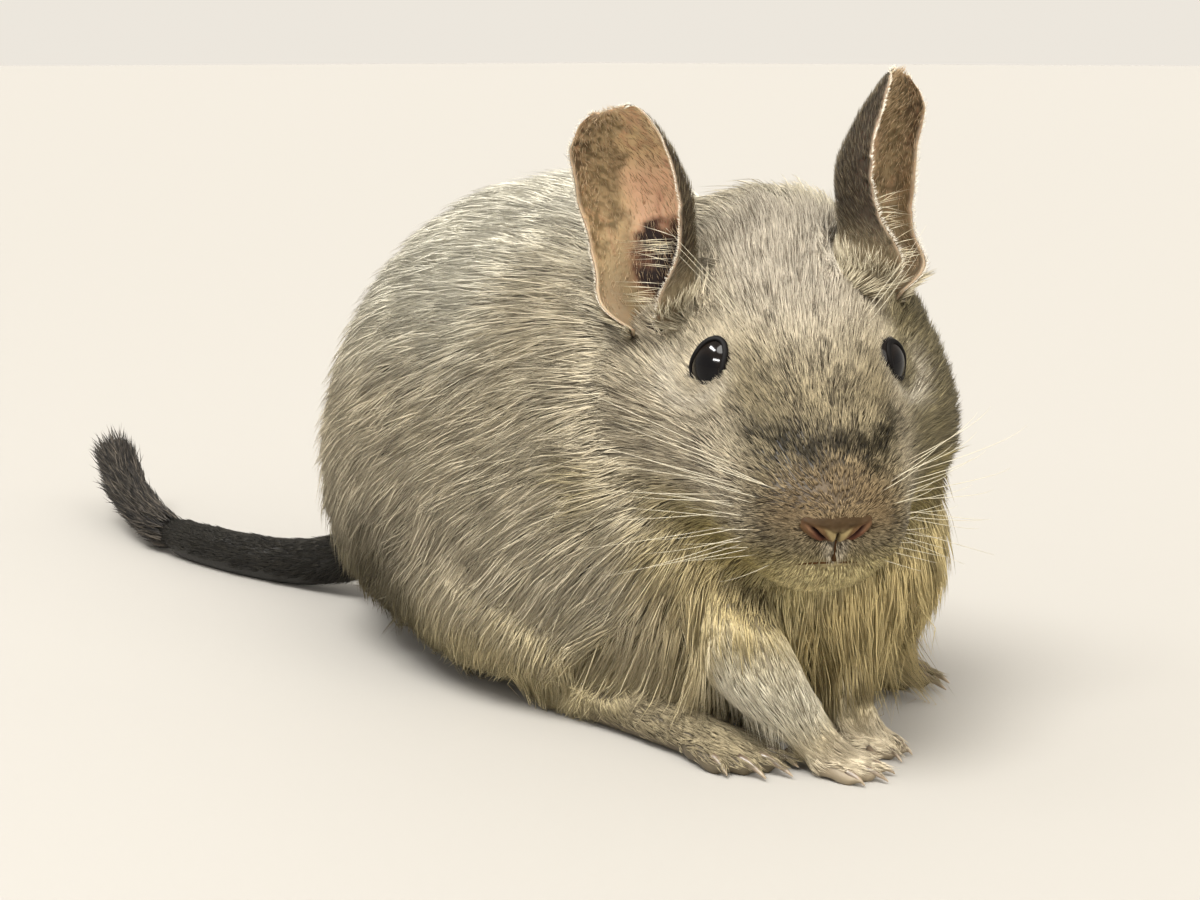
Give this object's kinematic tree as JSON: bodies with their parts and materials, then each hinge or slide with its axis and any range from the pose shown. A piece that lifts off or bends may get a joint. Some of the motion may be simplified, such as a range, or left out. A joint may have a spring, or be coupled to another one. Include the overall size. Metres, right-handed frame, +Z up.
{
  "type": "degu figure",
  "caption": "Life-size still figure of a degu, a small grey-brown rodent, crouched on its feet with its head turned to its right and its brush-tipped tail laid out behind.",
  "frame": {"origin": "on the floor under the belly, at the middle of the flat that the belly rests on", "axes": "+Z up, the head towards -Y, the tail towards +Y, the animal's left towards +X"},
  "size_m": [0.0595, 0.2053, 0.0832],
  "materials": {
    "coat": "grey-brown fur",
    "ear_skin": "thin bare skin, tan and dark mottled",
    "nose_skin": "bare brown-pink nose skin",
    "eye": "wet gloss black",
    "paw_coat": "short pale fur over skin",
    "tail_coat": "short dark bristly fur"
  },
  "bodies": {
    "root": {"torso": "coat", "neck": "coat", "head": "coat", "nose": "nose_skin", "ear_left": "ear_skin", "ear_right": "ear_skin", "eye_left": "eye", "eye_right": "eye", "foreleg_left": "coat", "foreleg_right": "coat", "forefoot_left": "paw_coat", "forefoot_right": "paw_coat", "hindleg_left": "coat", "hindleg_right": "coat", "hindfoot_left": "paw_coat", "hindfoot_right": "paw_coat", "tail_root": "tail_coat", "tail_middle": "tail_coat", "tail_brush": "tail_coat"}
  },
  "joints": []
}
